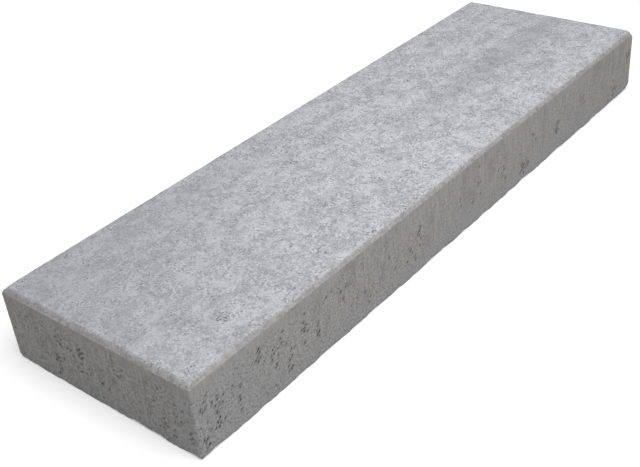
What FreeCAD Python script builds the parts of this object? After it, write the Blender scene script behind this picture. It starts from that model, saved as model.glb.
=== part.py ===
"""Concrete block step: a solid one-piece garden step, cast in a straight-sided mould.

It lies as it is laid in a flight: underside on the ground, tread up.
X runs along the step's length, Y from the front riser to the back face, and Z up.
The origin is the middle of the underside. All sizes are in millimetres.
"""
import FreeCAD, Part
import os

# Overall size of one step.
LENGTH = 1500.0
DEPTH = 450.0
RISE = 150.0

# The mould's lid breaks the four edges round the tread with a 45 degree chamfer,
# and the mould's corners leave the four upright edges slightly round.
TREAD_CHAMFER = 9.0
UPRIGHT_RADIUS = 4.0

PARTS_FOLDER = "parts"
FLAT = 0.001


def full_block():
    """The square-edged block, centred on the origin in plan, standing on Z = 0."""
    corner = FreeCAD.Vector(-LENGTH / 2, -DEPTH / 2, 0)
    return Part.makeBox(LENGTH, DEPTH, RISE, corner)


def is_tread_edge(edge):
    """Whether an edge lies wholly at the height of the tread."""
    box = edge.BoundBox
    return box.ZMin > RISE - FLAT


def is_upright_edge(edge):
    """Whether an edge runs from the underside to the tread."""
    box = edge.BoundBox
    return box.ZLength > RISE - FLAT


def chamfered_block():
    """The block as the lid shapes it: four flat chamfers that meet at mitred corners."""
    block = full_block()
    tread_edges = [edge for edge in block.Edges if is_tread_edge(edge)]
    return block.makeChamfer(TREAD_CHAMFER, tread_edges)


def rounded_block():
    """The block as the mould's walls shape it: four rounded upright edges."""
    block = full_block()
    upright_edges = [edge for edge in block.Edges if is_upright_edge(edge)]
    return block.makeFillet(UPRIGHT_RADIUS, upright_edges)


def block_step():
    """The cast step: what lies inside both the lid's shape and the walls' shape."""
    return chamfered_block().common(rounded_block()).Solids[0]


PIECES = {"block_step": block_step}


def main():
    os.makedirs(PARTS_FOLDER, exist_ok=True)
    for node, make in PIECES.items():
        solid = make()
        assert solid.isValid() and solid.isClosed()
        solid.exportStep(os.path.join(PARTS_FOLDER, node + ".step"))
        box = solid.BoundBox
        sides = f"{box.XLength:.1f} x {box.YLength:.1f} x {box.ZLength:.1f} mm"
        print(f"{node}: {sides}, {solid.Volume / 1e9:.5f} m3, {len(solid.Faces)} faces")


main()
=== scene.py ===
# %% [markdown]
# # A concrete block step
# The real step is one piece of dry-cast concrete: a stiff, sandy mix is shaken and pressed
# into a steel mould and pushed out while it is still green. That leaves a pale, blotchy tread,
# a neat chamfer all round it, side faces with drag marks and small pores, and a ragged lower
# edge. This script loads the plain block as a fixed frame and builds that finish around it.

# %% Load the frame
import math
import random

import bmesh
import bpy
from mathutils import Matrix, Vector, noise
from mathutils.kdtree import KDTree


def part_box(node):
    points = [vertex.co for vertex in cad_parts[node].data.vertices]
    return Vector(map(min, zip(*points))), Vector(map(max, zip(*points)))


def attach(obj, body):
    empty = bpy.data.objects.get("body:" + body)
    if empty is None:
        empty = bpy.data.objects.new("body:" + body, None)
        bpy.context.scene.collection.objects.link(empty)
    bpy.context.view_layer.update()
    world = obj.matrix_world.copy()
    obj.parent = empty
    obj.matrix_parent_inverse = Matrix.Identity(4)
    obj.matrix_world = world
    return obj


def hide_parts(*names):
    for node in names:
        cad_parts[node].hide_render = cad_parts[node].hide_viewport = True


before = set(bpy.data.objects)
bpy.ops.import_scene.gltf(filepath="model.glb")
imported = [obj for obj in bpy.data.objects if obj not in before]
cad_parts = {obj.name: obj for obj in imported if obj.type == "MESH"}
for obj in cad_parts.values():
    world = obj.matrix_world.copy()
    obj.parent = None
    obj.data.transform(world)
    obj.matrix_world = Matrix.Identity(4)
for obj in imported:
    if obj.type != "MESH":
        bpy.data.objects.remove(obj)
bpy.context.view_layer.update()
low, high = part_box("block_step")
size = high - low
middle = (low + high) / 2
MM = 0.001

# %% [markdown]
# ## The block as a lattice of cells
# Wear, waviness and pores all need vertices to move, so the block can't stay a bare box. A cube
# is scaled to the block's size and cut into cells of about 20 mm, one direction at a time. The
# cells stay square, which keeps the bevels and the later cuts regular.

# %% Start the block and cut it into cells
CELL = 20 * MM

block = bmesh.new()
# Painted shade for the pores: a number on each vertex, 1 on a pore's floor, that darkens the colour
# there.
pore_painted_shade = block.verts.layers.float.new("pore")
bmesh.ops.create_cube(block, size=1.0)
bmesh.ops.scale(block, vec=size, verts=block.verts)
bmesh.ops.translate(block, vec=middle, verts=block.verts)


def edges_along(axis):
    """The edges that run along one axis: 0 for X, 1 for Y, 2 for Z."""
    others = [a for a in range(3) if a != axis]
    return [
        e for e in block.edges
        if all(abs(e.verts[0].co[a] - e.verts[1].co[a]) < 0.01 * MM for a in others)
    ]


for axis in range(3):
    cells = round(size[axis] / CELL)
    bmesh.ops.subdivide_edges(block, edges=edges_along(axis), cuts=cells - 1, use_grid_fill=True)
print("cells", len(block.faces))

# %% [markdown]
# ## Chamfer and upright corners
# The mould's lid leaves a flat 45 degree chamfer round the tread, so that is a bevel of one
# segment. The mould's own corners are slightly round, so the four upright edges get a bevel of
# three segments, which also carries on up the mitre where two chamfers meet.

# %% Bevel the tread's edges, then the upright ones
CHAMFER = 9 * MM
CORNER_RADIUS = 4 * MM
NEAR = 0.05 * MM


def end_gap(point):
    """How far a point is inside the nearer end face."""
    return size.x / 2 - abs(point.x - middle.x)


def side_gap(point):
    """How far a point is inside the nearer long face."""
    return size.y / 2 - abs(point.y - middle.y)


def on_tread_rim(vert):
    return high.z - vert.co.z < NEAR and min(end_gap(vert.co), side_gap(vert.co)) < NEAR


def on_corner_line(vert):
    gap = end_gap(vert.co)
    return gap < CHAMFER + NEAR and abs(gap - side_gap(vert.co)) < NEAR


tread_rim = [
    e for e in block.edges
    if all(on_tread_rim(v) for v in e.verts)
]
bmesh.ops.bevel(block, geom=tread_rim, offset=CHAMFER, offset_type="OFFSET", affect="EDGES",
                segments=1, profile=0.5, material=-1)
corner_lines = [
    e for e in block.edges
    if all(on_corner_line(v) for v in e.verts) and max(v.co.z for v in e.verts) > low.z + NEAR
]
bmesh.ops.bevel(block, geom=corner_lines, offset=CORNER_RADIUS, offset_type="OFFSET",
                affect="EDGES", segments=3, profile=0.5, material=-1)
print("rim edges", len(tread_rim), "corner edges", len(corner_lines), "faces", len(block.faces))

# %% [markdown]
# ## Finer cells where the surface shows
# The underside lies on the ground and stays coarse. Every other face, and a border of the
# underside that meets the lower edge, is cut again so that its cells are about 5 mm wide. The
# bevels leave faces and vertices in an order that changes from run to run, so they are then
# numbered by their places: all that is drawn at random later falls on the same vertices.

# %% Cut the visible faces again
FINE_CUTS = 3
block.normal_update()


def stays_coarse(face):
    centre = face.calc_center_median()
    inside = min(end_gap(centre), side_gap(centre)) > CELL
    return face.normal.z < -0.9 and inside


def put_in_order():
    """Numbers the vertices by their coordinates, and the faces by their vertices."""
    for parts, key in (
        (block.verts, lambda vert: tuple(vert.co)),
        (block.faces, lambda face: sorted(vert.index for vert in face.verts)),
    ):
        ranks = {part: rank for rank, part in enumerate(sorted(parts, key=key))}
        parts.sort(key=lambda part: ranks[part])
        parts.index_update()


fine_edges = [e for e in block.edges if not all(stays_coarse(f) for f in e.link_faces)]
bmesh.ops.subdivide_edges(block, edges=fine_edges, cuts=FINE_CUTS, use_grid_fill=True)
put_in_order()
block.normal_update()
print("fine faces", len(block.faces))

# %% [markdown]
# ## Uneven faces
# A pressed face is nearly flat, but never quite: it swells and dips by a few tenths of a
# millimetre, and the sides carry upright drag marks from leaving the mould. Each vertex moves
# inwards only, so that the block never grows past its frame. A little sideways shake hides the
# regular cells, which matters once pores are cut at their corners.

# %% Wave the faces and shake the lattice
random.seed(11)
FLAT_ENOUGH = 0.999
SHAKE = 1.5 * MM


def waves(point, length, seed):
    """Smooth noise from about -1 to 1 whose waves are of that length."""
    return noise.noise(point / length + Vector((seed, 2.7 * seed, -1.3 * seed)))


def drag(point):
    """Noise drawn out upwards, as a mould's wall leaves it."""
    squeezed = Vector((point.x, point.y, point.z / 7))
    return waves(squeezed, 9 * MM, 5.0)


def dip(point, normal):
    """How far the real face lies inside the ideal one."""
    depth = 0.45 * MM + 0.3 * MM * waves(point, 90 * MM, 1.0) + 0.12 * MM * waves(point, 14 * MM, 2.0)
    if abs(normal.z) < 0.5:
        depth += 0.12 * MM * drag(point)
    return max(0.05 * MM, depth)


def shaken(normal):
    """A small random step that stays in the face."""
    step = Vector([random.uniform(-1, 1) for _ in range(3)]) * SHAKE
    return step - normal * step.dot(normal)


old_places = {v: (v.co.copy(), v.normal.copy()) for v in block.verts}
for vert, (start, normal) in old_places.items():
    if max(abs(part) for part in normal) > FLAT_ENOUGH:
        vert.co += shaken(normal)
    vert.co -= normal * dip(start, normal)
print("faces waved", len(old_places))

# %% [markdown]
# ## Worn chamfer and ragged lower edge
# Green concrete is weak at its edges. The chamfer's two long arrises lose a few grains, and the
# lower edge, where the mix rests on its pallet, breaks into shallow scallops 10 to 40 mm long.
# The scallops are a chamfer whose width wanders along the edge, pressed into the vertices.

# %% Break the lower edge and wear the arrises
def press_in(vert, gap_x, gap_y, gap_z, reach):
    """Pushes a vertex back to the plane that cuts off a corner or an edge at that reach.
    A gap of None leaves that direction out."""
    gaps = [gap_x, gap_y, gap_z]
    used = [g for g in gaps if g is not None]
    missing = reach - sum(used)
    if missing <= 0:
        return
    share = missing / len(used)
    if gap_x is not None:
        vert.co.x -= math.copysign(share, vert.co.x - middle.x)
    if gap_y is not None:
        vert.co.y -= math.copysign(share, vert.co.y - middle.y)
    if gap_z is not None:
        vert.co.z -= math.copysign(share, vert.co.z - middle.z)


def scallop(point):
    """The width of the break along the lower edge."""
    along = Vector((point.x, point.y, 0))
    long_wave = max(0.0, waves(along, 38 * MM, 8.0) + 0.15)
    short_wave = max(0.0, waves(along, 13 * MM, 9.0))
    return 1.5 * MM + 6.0 * MM * long_wave + 3.0 * MM * short_wave


BREAK_HEIGHT = 12 * MM
ARRIS_WEAR = 0.9 * MM
for vert in block.verts:
    above = vert.co.z - low.z
    if above < BREAK_HEIGHT:
        reach = scallop(vert.co)
        press_in(vert, end_gap(vert.co), None, above, reach)
        press_in(vert, None, side_gap(vert.co), vert.co.z - low.z, reach)

for vert in block.verts:
    normal = old_places[vert][1]
    slant = max(abs(part) for part in normal)
    if slant < 0.97 and vert.co.z > high.z - 2 * CHAMFER:
        worn = max(0.0, waves(vert.co, 16 * MM, 12.0) + 0.1)
        vert.co -= normal * ARRIS_WEAR * worn
print("lower edge and chamfer worn")

# %% [markdown]
# ## Chipped corners
# Handling knocks the corners off. Each chip is a flat cut across a corner, with its reach
# measured along the edges, and one shallow bite out of the tread's back edge.

# %% Chip the corners and one edge
# Each chip: side of X, side of Y, side of Z, reach.
CHIPS = [
    (-1, -1, -1, 6 * MM),
    (-1, 1, -1, 12 * MM),
    (1, -1, -1, 18 * MM),
    (1, 1, -1, 12 * MM),
    (-1, 1, 1, 15 * MM),
    (-1, -1, 1, 12 * MM),
    (1, -1, 1, 20 * MM),
]
for side_x, side_y, side_z, reach in CHIPS:
    corner = middle + Vector((side_x * size.x, side_y * size.y, side_z * size.z)) / 2
    for vert in block.verts:
        if (vert.co - corner).length < 2 * reach:
            away = abs(vert.co.z - corner.z)
            wobble = reach * (1 + 0.15 * waves(vert.co, 8 * MM, 15.0))
            press_in(vert, end_gap(vert.co), side_gap(vert.co), away, wobble)

BITE_FROM_END = 175 * MM
BITE_RADIUS = 14 * MM
bite_centre = Vector((low.x + BITE_FROM_END, high.y + 0.4 * BITE_RADIUS, high.z + 0.1 * BITE_RADIUS))
for vert in block.verts:
    from_bite = vert.co - bite_centre
    if from_bite.length < BITE_RADIUS:
        vert.co = bite_centre + from_bite.normalized() * BITE_RADIUS
print("chips", len(CHIPS))

# %% [markdown]
# ## Pores
# Air that can't escape the stiff mix leaves pores of 1.5 to 8 mm. On the side faces they sit in
# loose upright groups, which crowd the front left corner and thin out along the riser and the
# end. On the tread they are single. Holes could be cut with booleans, but hundreds of them are
# slow and leave slivers, so each pore opens from a vertex that is already there. First comes
# the list of places, drawn at random from a fixed seed so that each run gives the same block.

# %% Choose where pores go
random.seed(31)
wanted = []


def scatter_groups(corner, along, length, groups, crowding):
    """Spreads groups of pores over a side face, from its lower corner. A crowding above 1
    draws them to that corner. A strong group is tight, with more and larger pores."""
    for _ in range(groups):
        strength = random.random() ** 2
        across = length * random.random() ** crowding
        centre = corner + along * across + Vector((0, 0, size.z * random.uniform(0.2, 0.72)))
        spread = (15 - 8 * strength) * MM
        largest = 2.0 + 1.8 * strength
        for _ in range(round(4 + 7 * strength)):
            sideways = along * random.gauss(0, 0.45 * spread)
            upwards = Vector((0, 0, random.gauss(0, 1.1 * spread)))
            radius = round(largest * random.uniform(0.35, 1.1), 1) * MM
            wanted.append((centre + sideways + upwards, radius))


LENGTHWISE = Vector((1, 0, 0))
ACROSS = Vector((0, 1, 0))
scatter_groups(low, LENGTHWISE, size.x, 44, 1.9)
scatter_groups(low, ACROSS, size.y, 16, 1.3)
scatter_groups(Vector((low.x, high.y, low.z)), LENGTHWISE, size.x, 26, 1.0)
scatter_groups(Vector((high.x, low.y, low.z)), ACROSS, size.y, 9, 1.0)

# Single pores: on the sides more of them low down, on the tread anywhere.
SIDE_PORES = 420
TREAD_PORES = 700
for _ in range(SIDE_PORES):
    height = low.z + size.z * (0.06 + 0.8 * random.random() ** 1.5)
    radius = random.choice([0.8, 0.9, 1.1]) * MM
    around = random.uniform(0, 2 * (size.x + size.y))
    if around < 2 * size.x:
        face_y = low.y if around < size.x else high.y
        wanted.append((Vector((low.x + around % size.x, face_y, height)), radius))
    else:
        around -= 2 * size.x
        face_x = low.x if around < size.y else high.x
        wanted.append((Vector((face_x, low.y + around % size.y, height)), radius))
for _ in range(TREAD_PORES):
    on_tread = Vector((random.uniform(low.x, high.x), random.uniform(low.y, high.y), high.z))
    wanted.append((on_tread, random.choice([0.7, 0.8, 0.9, 1.1, 1.3]) * MM))
print("pores wanted", len(wanted))

# %% [markdown]
# ### A vertex for each pore
# A pore may only open on a flat part, clear of the arrises, and never so wide that it meets the
# next opening. The largest choose first, and each takes the nearest vertex with room for it. A
# pore that finds no room is left out.

# %% Take the nearest free vertex for each pore
block.normal_update()
ARRIS_ROOM = 12 * MM
candidates = []
for vert in block.verts:
    flat = max(abs(part) for part in vert.normal) > 0.99
    gaps = [end_gap(vert.co), side_gap(vert.co), vert.co.z - low.z, high.z - vert.co.z]
    roomy = sorted(gaps)[1] > ARRIS_ROOM
    if flat and roomy and vert.normal.z > -0.5 and len(vert.link_edges) == 4:
        candidates.append(vert)
finder = KDTree(len(candidates))
for number, vert in enumerate(candidates):
    finder.insert(vert.co, number)
finder.balance()

by_radius = {}
opened = {}
ROOM = 1.08
CHOICES = 6


def has_room(vert, radius):
    """True if an opening of that radius keeps clear of the cell's far corners and its neighbours."""
    return all(
        e.calc_length() > ROOM * (radius + opened.get(e.other_vert(vert), 0.0))
        for e in vert.link_edges
    )


for centre, radius in sorted(wanted, key=lambda pore: -pore[1]):
    for _, number, _ in finder.find_n(centre, CHOICES):
        vert = candidates[number]
        if vert not in opened and has_room(vert, radius):
            opened[vert] = radius
            by_radius.setdefault(round(radius / MM, 2), []).append(vert)
            break
print("pores", {r: len(v) for r, v in sorted(by_radius.items())})

# %% [markdown]
# ### Opening and sinking the pores
# Each chosen vertex is bevelled into a small opening, which is inset and pushed in, the larger
# ones twice, to make a rough bowl. The rim is marked sharp, so that the face round it still
# shades as flat. A number on each vertex says how much painted shade the pore gets there, full
# on its floor. Painted shade also darkens the rims of the larger ones, so that close pores run
# together as they do on the real block.

# %% Sink the pores and paint shade in them
def sink(openings, step, depth, darkness):
    """Insets each opening, pushes it in and gives its floor that much painted shade."""
    bmesh.ops.inset_individual(block, faces=openings, thickness=step, depth=-depth)
    for face in openings:
        for vert in face.verts:
            vert[pore_painted_shade] = darkness


DEEP_PORE = 1.25 * MM
LARGE_PORE = 1.6 * MM
# Painted shade on the rims of the larger pores, so that close ones run together.
RIM_PAINTED_SHADE = 0.42
for radius_mm in sorted(by_radius):
    radius = radius_mm * MM
    made = bmesh.ops.bevel(block, geom=by_radius[radius_mm], offset=radius,
                           offset_type="OFFSET", affect="VERTICES", segments=2, profile=0.5,
                           material=-1, clamp_overlap=False)
    openings = bmesh.ops.dissolve_faces(block, faces=made["faces"], use_verts=False)["region"]
    for face in openings:
        for edge in face.edges:
            edge.smooth = False
        for vert in face.verts:
            # The rims of the larger pores get some painted shade, the smaller ones none.
            vert[pore_painted_shade] = RIM_PAINTED_SHADE if radius > LARGE_PORE else 0.0
    sink(openings, 0.1 * radius, 1.3 * radius, 1.0)
    if radius > DEEP_PORE:
        sink(openings, 0.25 * radius, 0.5 * radius, 1.0)
print("faces with pores", len(block.faces), "triangles", sum(len(f.verts) - 2 for f in block.faces))

# %% [markdown]
# ## Crisp arrises
# A pressed block turns from face to chamfer in a crisp line. Smooth shading would blur that
# line over a whole cell, so every edge that turns by more than 36 degrees is marked sharp. The
# upright corners turn in smaller steps and stay round.

# %% Mark the sharp edges and make the object
ARRIS_ANGLE = math.radians(36)
block.normal_update()
for face in block.faces:
    face.smooth = True
for edge in block.edges:
    if edge.calc_face_angle(0.0) > ARRIS_ANGLE:
        edge.smooth = False
bmesh.ops.recalc_face_normals(block, faces=block.faces)
put_in_order()
step_mesh = bpy.data.meshes.new("cast_block")
block.to_mesh(step_mesh)
block.free()
cast_block = bpy.data.objects.new("cast_block", step_mesh)
bpy.context.scene.collection.objects.link(cast_block)
print("cast_block", len(step_mesh.vertices), "vertices")

# %% [markdown]
# ## The concrete
# One mix, but three finishes: the tread is covered with blotches of pale cement film, the
# chamfer is smooth and a little warm, and the sides are sandy and brownish grey. They blend by
# height, so one material does it all from Object coordinates, which stay with the block.

# %% Start the material and its helpers
concrete = bpy.data.materials.new("dry_cast_concrete")
concrete.use_nodes = True
tree = concrete.node_tree
shader = tree.nodes["Principled BSDF"]
on_block = tree.nodes.new("ShaderNodeTexCoord").outputs["Object"]


def stretched(scale, offset=(0, 0, 0)):
    """Object coordinates, squeezed or drawn out along the axes."""
    node = tree.nodes.new("ShaderNodeMapping")
    node.inputs["Location"].default_value = offset
    node.inputs["Scale"].default_value = scale
    tree.links.new(on_block, node.inputs["Vector"])
    return node.outputs["Vector"]


def clouds(vector, feature, detail=2.0, roughness=0.5):
    """Noise whose features are that many metres across."""
    node = tree.nodes.new("ShaderNodeTexNoise")
    node.inputs["Scale"].default_value = 1 / feature
    node.inputs["Detail"].default_value = detail
    node.inputs["Roughness"].default_value = roughness
    tree.links.new(vector, node.inputs["Vector"])
    return node.outputs["Fac"]


def specks(vector, spacing):
    """The distance to the nearest of many scattered points, in spacings."""
    node = tree.nodes.new("ShaderNodeTexVoronoi")
    node.inputs["Scale"].default_value = 1 / spacing
    tree.links.new(vector, node.inputs["Vector"])
    return node.outputs["Distance"]


def fade(value, start, end, low_out=0.0, high_out=1.0):
    """Turns a value between start and end into low_out to high_out, smoothly."""
    node = tree.nodes.new("ShaderNodeMapRange")
    node.interpolation_type = "SMOOTHSTEP"
    node.inputs["From Min"].default_value = start
    node.inputs["From Max"].default_value = end
    node.inputs["To Min"].default_value = low_out
    node.inputs["To Max"].default_value = high_out
    tree.links.new(value, node.inputs["Value"])
    return node.outputs["Result"]


def combine(operation, first, second):
    """Math on two values, each a socket or a number."""
    node = tree.nodes.new("ShaderNodeMath")
    node.operation = operation
    for socket, value in zip(node.inputs, (first, second)):
        if isinstance(value, (int, float)):
            socket.default_value = value
        else:
            tree.links.new(value, socket)
    return node.outputs["Value"]


def paint(share, under, over, mode="MIX"):
    """Lays one colour over another by a share. Colours are sockets or linear RGB."""
    node = tree.nodes.new("ShaderNodeMix")
    node.data_type = "RGBA"
    node.blend_type = mode
    for name, value in (("Factor", share), ("A", under), ("B", over)):
        socket = next(s for s in node.inputs if s.name == name and s.enabled)
        if isinstance(value, bpy.types.NodeSocket):
            tree.links.new(value, socket)
        elif name == "Factor":
            socket.default_value = value
        else:
            socket.default_value = (*value, 1.0)
    return next(s for s in node.outputs if s.enabled)


split = tree.nodes.new("ShaderNodeSeparateXYZ")
tree.links.new(on_block, split.inputs["Vector"])
along_x, along_y, along_z = split.outputs
print("helpers ready")

# %% [markdown]
# ### The tread
# Mid grey, with blotches of bluish-white cement film in two sizes, a paler and a darker grain,
# and pinholes painted dark as the shade in them. The film is thinner towards the back left
# corner, and a faint darker band runs along the right half, where a strap or board has rubbed it.

# %% Colour the tread
TREAD_GREY = (0.335, 0.341, 0.359)
TREAD_FILM = (0.51, 0.519, 0.545)
TREAD_PALE = (0.66, 0.67, 0.69)
TREAD_DARK = (0.17, 0.175, 0.19)
# Painted shade for pinholes, on the tread and the sides.
PINHOLE_SHADE = (0.05, 0.052, 0.057)
BAND_GREY = (0.2, 0.2, 0.21)
BAND_HALF_WIDTH = 55 * MM
BARE_GREY = (0.24, 0.245, 0.26)

blotches = clouds(stretched((1, 1.2, 1)), 44 * MM, 4.0, 0.62)
patches = clouds(stretched((1.2, 1, 1), (3, 1, 2)), 15 * MM, 3.0, 0.6)
flecks = clouds(on_block, 8 * MM, 3.0, 0.75)
film = combine("ADD", combine("MULTIPLY", blotches, 0.5), combine("MULTIPLY", patches, 0.3))
film = combine("ADD", film, combine("MULTIPLY", flecks, 0.35))
film = fade(film, 0.47, 0.68)
tread = paint(film, TREAD_GREY, TREAD_FILM)
grain = clouds(on_block, 3.8 * MM, 3.0, 0.7)
grain_patches = clouds(stretched((1, 1, 1), (7, 5, 0)), 30 * MM, 3.0, 0.6)
graininess = fade(grain_patches, 0.35, 0.62, 0.35, 1.0)
pale_grain = combine("MULTIPLY", fade(grain, 0.5, 0.66, 0, 0.8), graininess)
tread = paint(pale_grain, tread, TREAD_PALE)
dark_grain = combine("MULTIPLY", fade(grain, 0.5, 0.34, 0, 0.9), graininess)
tread = paint(dark_grain, tread, TREAD_DARK)


def pinholes(vector, spacing, cluster, largest):
    """A mask of round holes, largest where the cluster noise is high, that sets where shade is painted in
    them. Sizes are shares of the spacing.
    """
    reach = fade(cluster, 0.42, 0.68, 0.0, largest)
    return fade(combine("SUBTRACT", reach, specks(vector, spacing)), 0.0, 0.07)


tread_pinhole_shade = pinholes(on_block, 6 * MM, clouds(on_block, 28 * MM, 3.0, 0.6), 0.3)
# Painted shade in the tread's pinholes, which are not cut or bumped.
tread = paint(combine("MULTIPLY", tread_pinhole_shade, 0.9), tread, PINHOLE_SHADE)
band_centre = middle.y - 0.06 * size.y
off_band = combine("ABSOLUTE", combine("SUBTRACT", along_y, band_centre), 0.0)
band = combine("MULTIPLY", fade(off_band, BAND_HALF_WIDTH, 0.0), fade(along_x, 0.0, 0.3))
tread = paint(combine("MULTIPLY", band, 0.34), tread, BAND_GREY)
back_left = fade(combine("SUBTRACT", along_y, along_x), -0.1, 1.0)
tread = paint(combine("MULTIPLY", back_left, 0.52), tread, BARE_GREY)
print("tread coloured")

# %% [markdown]
# ### The sides and the chamfer
# The sides are a brownish grey with upright drag streaks, a smoother and warmer strip just
# under the chamfer, dark sand specks, and pinholes painted dark as the shade in them. Low down
# and at the front left corner, where the paste has come away from the sand, they turn rougher
# and bluish. The chamfer is smooth, and its upper part takes on the tread's film.

# %% Colour the sides and the chamfer
SIDE_GREY = (0.262, 0.252, 0.24)
SIDE_LIGHT = (0.325, 0.316, 0.303)
SIDE_BLUE = (0.276, 0.28, 0.289)
SAND_DARK = (0.1, 0.099, 0.097)
SAND_PALE = (0.46, 0.45, 0.44)
CHAMFER_GREY = (0.332, 0.32, 0.319)
CHAMFER_DARK = (0.265, 0.252, 0.253)
STAIN_GREY = (0.17, 0.165, 0.16)
PORE_SHADE = (0.025, 0.025, 0.025)

streaks = clouds(stretched((1, 1, 0.16)), 7 * MM, 3.0, 0.65)
sand = clouds(on_block, 4.5 * MM, 3.0, 0.72)
stains = clouds(stretched((1, 1, 0.5)), 26 * MM, 4.0, 0.6)
side = paint(fade(streaks, 0.3, 0.7), SIDE_GREY, SIDE_LIGHT)
side = paint(fade(stains, 0.5, 0.36, 0, 0.35), side, STAIN_GREY)
near_left = fade(along_x, low.x + 0.36, low.x + 0.04)
near_front = fade(along_y, low.y + 0.07, low.y + 0.01)
corner_patch = combine("MULTIPLY", near_left, near_front)
smooth_strip = fade(combine("ADD", along_z, combine("MULTIPLY", stains, 0.05)),
                    high.z - 0.008, high.z + 0.012)
coarse = combine("SUBTRACT", 1.0, combine("MULTIPLY", smooth_strip, 0.8))
low_band = fade(combine("ADD", along_z, combine("MULTIPLY", stains, 0.06)),
                low.z + 0.09, low.z + 0.05)
bluish = combine("MULTIPLY", combine("MAXIMUM", corner_patch, low_band), coarse)
side = paint(combine("MULTIPLY", bluish, 0.7), side, SIDE_BLUE)
coarse = combine("MULTIPLY", coarse, fade(along_x, low.x + 0.3, low.x + 0.8, 0.75, 0.55))
side = paint(combine("MULTIPLY", fade(sand, 0.5, 0.33, 0, 0.9), coarse), side, SAND_DARK)
side = paint(combine("MULTIPLY", fade(sand, 0.5, 0.7, 0, 0.65), coarse), side, SAND_PALE)
holes = clouds(stretched((1, 1, 0.6)), 36 * MM, 3.0, 0.65)
spots = combine("MULTIPLY", pinholes(on_block, 6.5 * MM, holes, 0.29), coarse)
# Painted shade in the side pinholes, which the bump also dents.
side = paint(combine("MULTIPLY", spots, 0.8), side, PINHOLE_SHADE)
chamfer = paint(fade(clouds(on_block, 14 * MM, 3.0), 0.35, 0.65), CHAMFER_GREY, CHAMFER_DARK)
chamfer = paint(fade(clouds(on_block, 4 * MM, 2.0), 0.5, 0.3, 0, 0.5), chamfer, SAND_DARK)
ragged_top = combine("ADD", along_z, combine("MULTIPLY", clouds(on_block, 9 * MM, 4.0, 0.7), 8 * MM))
ragged_side = combine("ADD", along_z, combine("MULTIPLY", clouds(on_block, 15 * MM, 3.0), 3 * MM))
colour = paint(fade(ragged_side, high.z - CHAMFER + 0.9 * MM, high.z - CHAMFER + 1.9 * MM), side, chamfer)
colour = paint(fade(ragged_top, high.z - 1.6 * MM, high.z + 3.4 * MM), colour, tread)
# Painted shade in the pores and on the rims of the larger ones, read from the vertex numbers.
pore_shade_attribute = tree.nodes.new("ShaderNodeAttribute")
pore_shade_attribute.attribute_name = "pore"
colour = paint(combine("MULTIPLY", pore_shade_attribute.outputs["Fac"], 0.92), colour, PORE_SHADE)
tree.links.new(colour, shader.inputs["Base Color"])
print("sides and chamfer coloured")

# %% [markdown]
# ### Grain and dullness
# Concrete has no gloss to speak of, so roughness only varies a little. The grain is too fine to
# model, so a bump carries it: sand of 2 to 4 mm and, on the sides, the drag streaks.

# %% Roughen the concrete
rough = fade(sand, 0.2, 0.8, 0.82, 0.95)
tree.links.new(rough, shader.inputs["Roughness"])
shader.inputs["Specular IOR Level"].default_value = 0.3
heights = combine("ADD", combine("MULTIPLY", sand, 0.6), combine("MULTIPLY", grain, 0.4))
heights = combine("ADD", heights, combine("MULTIPLY", streaks, 0.25))
heights = combine("SUBTRACT", heights, combine("MULTIPLY", spots, 0.6))
bump = tree.nodes.new("ShaderNodeBump")
bump.inputs["Strength"].default_value = 0.6
bump.inputs["Distance"].default_value = 1.0 * MM
tree.links.new(heights, bump.inputs["Height"])
tree.links.new(bump.outputs["Normal"], shader.inputs["Normal"])
step_mesh.materials.append(concrete)
print("bump strength", bump.inputs["Strength"].default_value)

# %% [markdown]
# ## Tying the block to its frame
# The finished block rides on the frame's only body and takes the place of the plain one.

# %% Tie the block to the frame
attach(cast_block, "root")
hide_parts("block_step")
print("concrete on", cast_block.name)

# %% [markdown]
# ## Floor
# A plain pale floor keeps a soft shadow and turns white where it is fully lit. Further out the
# lamp's light fades, so there the floor glows by itself, for the camera only, and no horizon
# shows. The floor that lights the block from below is a darker one, so that it doesn't bleach
# the sides.

# %% Floor
floor_mesh = bpy.data.meshes.new("floor")
floor_build = bmesh.new()
bmesh.ops.create_grid(floor_build, x_segments=1, y_segments=1, size=8.0)
floor_build.to_mesh(floor_mesh)
floor_build.free()
floor = bpy.data.objects.new("floor", floor_mesh)
bpy.context.scene.collection.objects.link(floor)

FLOOR_BOUNCE = 0.6
FLOOR_SEEN = 0.8
FLOOR_GLOW = 0.3
GLOW_STARTS = 1.0
GLOW_FULL = 3.0
pale = bpy.data.materials.new("pale_floor")
pale.use_nodes = True
nodes, links = pale.node_tree.nodes, pale.node_tree.links
nodes.clear()
rays = nodes.new("ShaderNodeLightPath").outputs
seen = nodes.new("ShaderNodeMath")
seen.operation = "MAXIMUM"
links.new(rays["Is Camera Ray"], seen.inputs[0])
mirrored = nodes.new("ShaderNodeMath")
mirrored.operation = "MAXIMUM"
links.new(rays["Is Glossy Ray"], mirrored.inputs[0])
links.new(rays["Is Transmission Ray"], mirrored.inputs[1])
links.new(mirrored.outputs[0], seen.inputs[1])
plain = nodes.new("ShaderNodeBsdfDiffuse")
plain.inputs["Color"].default_value = (FLOOR_BOUNCE, FLOOR_BOUNCE, FLOOR_BOUNCE, 1)
shown = nodes.new("ShaderNodeBsdfDiffuse")
shown.inputs["Color"].default_value = (FLOOR_SEEN, FLOOR_SEEN, FLOOR_SEEN, 1)
glow = nodes.new("ShaderNodeEmission")
from_block = nodes.new("ShaderNodeVectorMath")
from_block.operation = "LENGTH"
links.new(nodes.new("ShaderNodeTexCoord").outputs["Object"], from_block.inputs[0])
whiter = nodes.new("ShaderNodeMapRange")
whiter.inputs["From Min"].default_value = GLOW_STARTS
whiter.inputs["From Max"].default_value = GLOW_FULL
whiter.inputs["To Min"].default_value = FLOOR_GLOW
whiter.inputs["To Max"].default_value = 1.0
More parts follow.
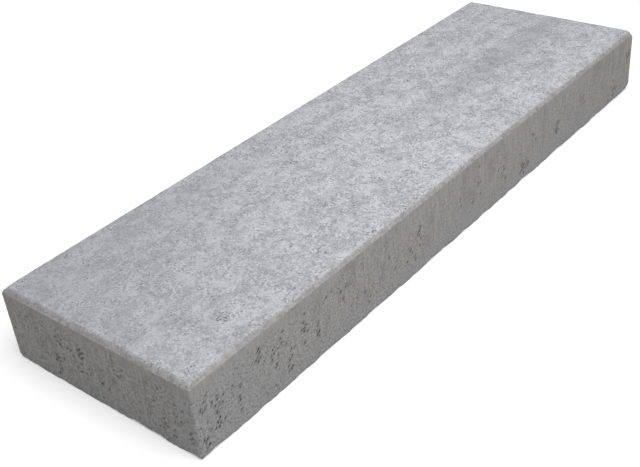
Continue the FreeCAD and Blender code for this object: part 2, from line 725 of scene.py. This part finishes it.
links.new(from_block.outputs["Value"], whiter.inputs["Value"])
links.new(whiter.outputs["Result"], glow.inputs["Strength"])
lifted = nodes.new("ShaderNodeAddShader")
links.new(shown.outputs[0], lifted.inputs[0])
links.new(glow.outputs[0], lifted.inputs[1])
choose = nodes.new("ShaderNodeMixShader")
links.new(seen.outputs[0], choose.inputs[0])
links.new(plain.outputs[0], choose.inputs[1])
links.new(lifted.outputs[0], choose.inputs[2])
surface = nodes.new("ShaderNodeOutputMaterial")
links.new(choose.outputs[0], surface.inputs["Surface"])
floor_mesh.materials.append(pale)
print("floor laid")

# %% [markdown]
# ## Sky and lamp
# A plain grey-white sky fills the shadows, and is full white where the camera looks past the
# floor. One broad lamp stands above the front riser and a little to the left, so the tread is
# lightest, the riser next and the end darkest.

# %% World and lamp
SKY = 0.5
world = bpy.data.worlds.new("studio")
world.use_nodes = True
bpy.context.scene.world = world
nodes, links = world.node_tree.nodes, world.node_tree.links
sky = nodes["Background"]
sky.inputs["Color"].default_value = (1, 1, 1, 1)
rays = nodes.new("ShaderNodeLightPath").outputs
clear_view = nodes.new("ShaderNodeMath")
clear_view.operation = "MAXIMUM"
links.new(rays["Is Camera Ray"], clear_view.inputs[0])
links.new(rays["Is Transmission Ray"], clear_view.inputs[1])
level = nodes.new("ShaderNodeMapRange")
level.inputs["To Min"].default_value = SKY
level.inputs["To Max"].default_value = 1.0
links.new(clear_view.outputs[0], level.inputs["Value"])
links.new(level.outputs[0], sky.inputs["Strength"])

LAMP_POWER = 74.0
LAMP_SIDE = 2.6
lamp_data = bpy.data.lights.new("softbox", "AREA")
lamp_data.shape = "SQUARE"
lamp_data.size = LAMP_SIDE
lamp_data.energy = LAMP_POWER
lamp = bpy.data.objects.new("softbox", lamp_data)
lamp.location = middle + Vector((-0.4, -1.2, 2.5))
lamp.rotation_euler = (middle - lamp.location).to_track_quat("-Z", "Y").to_euler()
bpy.context.scene.collection.objects.link(lamp)
print("lamp", LAMP_POWER, "W")

# %% [markdown]
# ## Camera
# The camera looks down on the front left corner, from a little under two metres away, and is
# turned slightly about its own axis, as a hand-held one is.

# %% Camera
AIM = Vector((low.x + 0.415, low.y + 0.088, high.z))
AZIMUTH = math.radians(-48.3)
ELEVATION = math.radians(32.9)
ROLL = math.radians(-5.6)
DISTANCE = 1.737
LENS = 56.2
SENSOR = 36.0
camera_data = bpy.data.cameras.new("camera")
camera_data.sensor_width = SENSOR
camera_data.lens = LENS
camera = bpy.data.objects.new("camera", camera_data)
back = Vector((math.sin(AZIMUTH) * math.cos(ELEVATION),
               -math.cos(AZIMUTH) * math.cos(ELEVATION),
               math.sin(ELEVATION)))
camera.location = AIM + back * DISTANCE
facing = (-back).to_track_quat("-Z", "Y").to_matrix()
camera.rotation_euler = (facing @ Matrix.Rotation(ROLL, 3, "Z")).to_euler()
bpy.context.scene.collection.objects.link(camera)
bpy.context.scene.camera = camera
bpy.context.scene.view_settings.view_transform = "Standard"
print("camera at", [round(part, 3) for part in camera.location])
